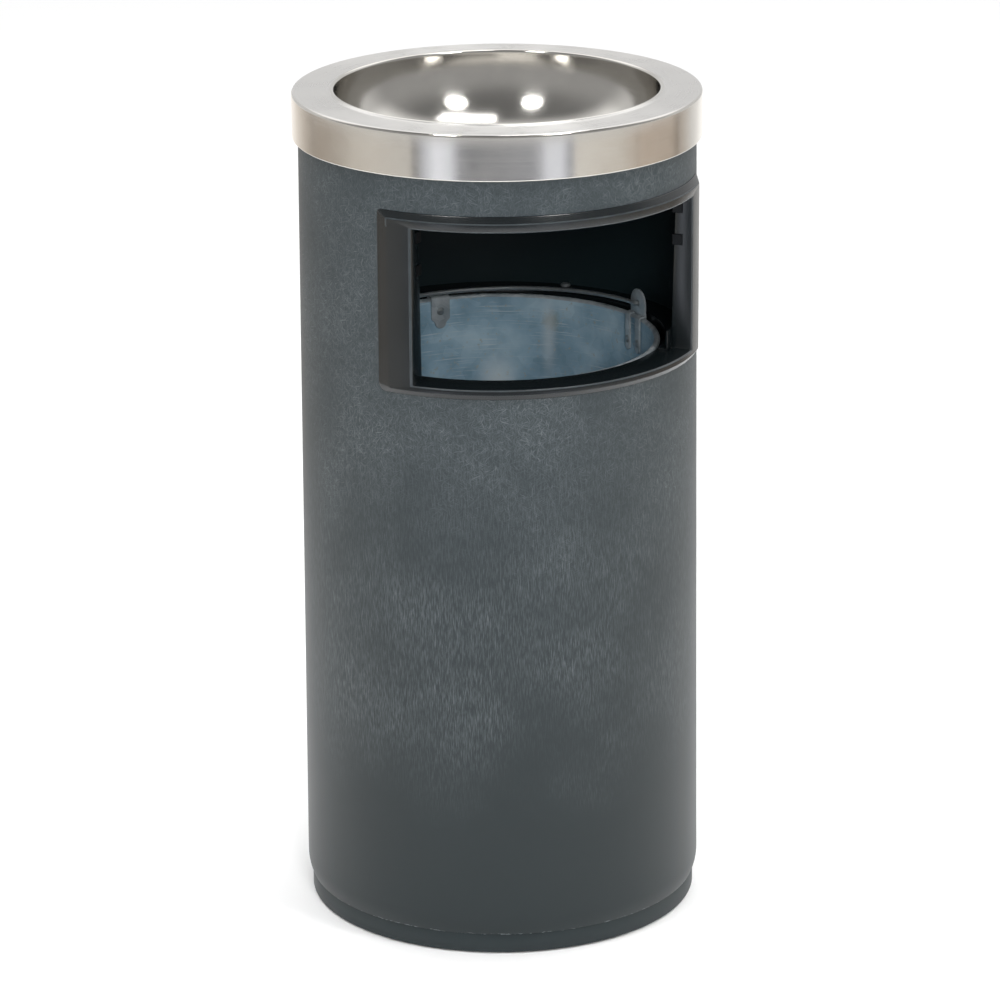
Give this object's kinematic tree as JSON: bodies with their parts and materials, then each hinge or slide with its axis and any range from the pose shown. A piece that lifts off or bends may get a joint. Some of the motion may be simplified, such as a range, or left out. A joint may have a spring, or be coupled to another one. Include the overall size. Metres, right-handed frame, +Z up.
{
  "type": "ashtray bin",
  "caption": "Round free-standing bin with a framed side aperture, a lift-off steel ashtray on top and a lift-out galvanised bucket with a wire bail.",
  "frame": {"origin": "on the floor under the axis of the body", "axes": "+Z up along the body, the aperture faces -Y, +X to the right of someone facing the aperture from behind it"},
  "size_m": [0.298, 0.298, 0.62],
  "materials": {
    "body_plastic": "moulded, faintly fibrous",
    "base_plastic": "moulded, smooth",
    "gloss_plastic": "injection moulded, glossy",
    "stainless": "satin rim, polished bowl and skirt",
    "galvanised": "hot-dip galvanised",
    "zinc_plated": "zinc plated",
    "spring_steel": "blackened spring steel",
    "rubber": "matt"
  },
  "bodies": {
    "bin_body": {"body_shell": "body_plastic", "base_plate": "base_plastic", "base_screws": "zinc_plated", "foot_pads": "rubber", "aperture_frame": "gloss_plastic", "frame_clips": "spring_steel", "bucket_collar": "gloss_plastic", "collar_screws": "zinc_plated", "collar_clip": "gloss_plastic"},
    "ashtray": {"ashtray": "stainless"},
    "bucket": {"bucket_wall": "galvanised", "bucket_base": "galvanised", "bucket_foot_hoop": "galvanised", "bucket_rim_wire": "zinc_plated", "bucket_ear_right": "galvanised", "bucket_ear_left": "galvanised", "ear_rivets": "zinc_plated", "rim_clip": "galvanised", "clip_rivet": "zinc_plated"},
    "bail": {"bail_handle": "zinc_plated"}
  },
  "joints": [
    {"name": "ashtray_lift", "type": "slide", "parent": "bin_body", "child": "ashtray", "axis": [0, 0, 1], "range_m": [0, 0.7]},
    {"name": "bucket_lift", "type": "slide", "parent": "bin_body", "child": "bucket", "axis": [0, 0, 1], "range_m": [0, 0.63]},
    {"name": "bail_swing", "type": "hinge", "parent": "bucket", "child": "bail", "pos_m": [0, 0, 0.441], "axis": [0.9981, 0.061, 0], "range_deg": [0, 185]}
  ],
  "couplings": [
    {"joint": "bucket_lift", "follows": "ashtray_lift", "ratio": 0.9}
  ]
}
